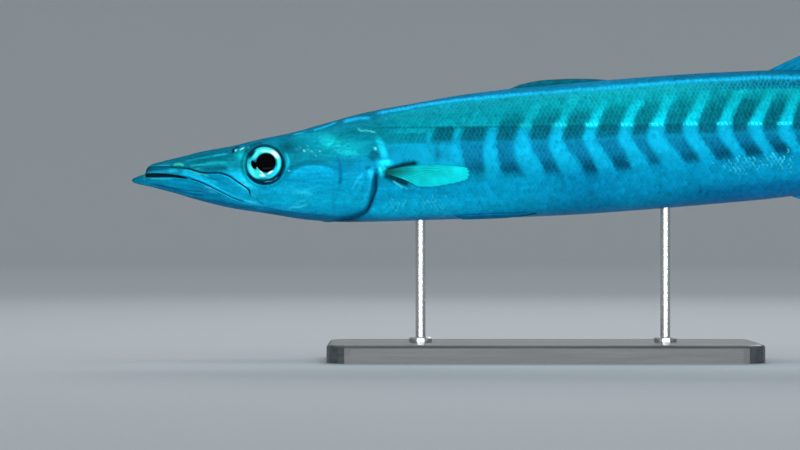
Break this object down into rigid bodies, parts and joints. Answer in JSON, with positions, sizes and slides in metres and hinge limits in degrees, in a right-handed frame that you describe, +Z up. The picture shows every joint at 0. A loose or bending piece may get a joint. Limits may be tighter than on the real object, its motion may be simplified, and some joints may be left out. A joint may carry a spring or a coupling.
{
  "type": "barracuda",
  "caption": "Life-size chevron barracuda with ridged fins, nose slightly down, held by two rods on a flat display base.",
  "frame": {"origin": "centre of the part's bounding box, on the underside of the display base", "axes": "+X from head to tail along the fish's length, +Y towards the fish's right side, +Z up; the left side faces -Y"},
  "size_m": [1.0406, 0.17, 0.3482],
  "materials": {
    "skin": "scaled, silvery sheen",
    "fin": "thin ribbed membrane",
    "eye": "clear gloss over a silvery ring",
    "base": "satin black lacquer",
    "rod": "satin"
  },
  "bodies": {
    "root": {"head": "skin", "lower_jaw": "skin", "eye_left": "eye", "eye_right": "eye", "trunk_front": "skin", "trunk_rear": "skin", "tail_stalk": "skin", "first_dorsal_fin": "fin", "second_dorsal_fin": "fin", "anal_fin": "fin", "tail_fin_upper": "fin", "tail_fin_lower": "fin", "pectoral_fin_left": "fin", "pectoral_fin_right": "fin", "pelvic_fin_left": "fin", "pelvic_fin_right": "fin", "stand_base": "base", "stand_rod_front": "rod", "stand_rod_rear": "rod"}
  },
  "joints": []
}
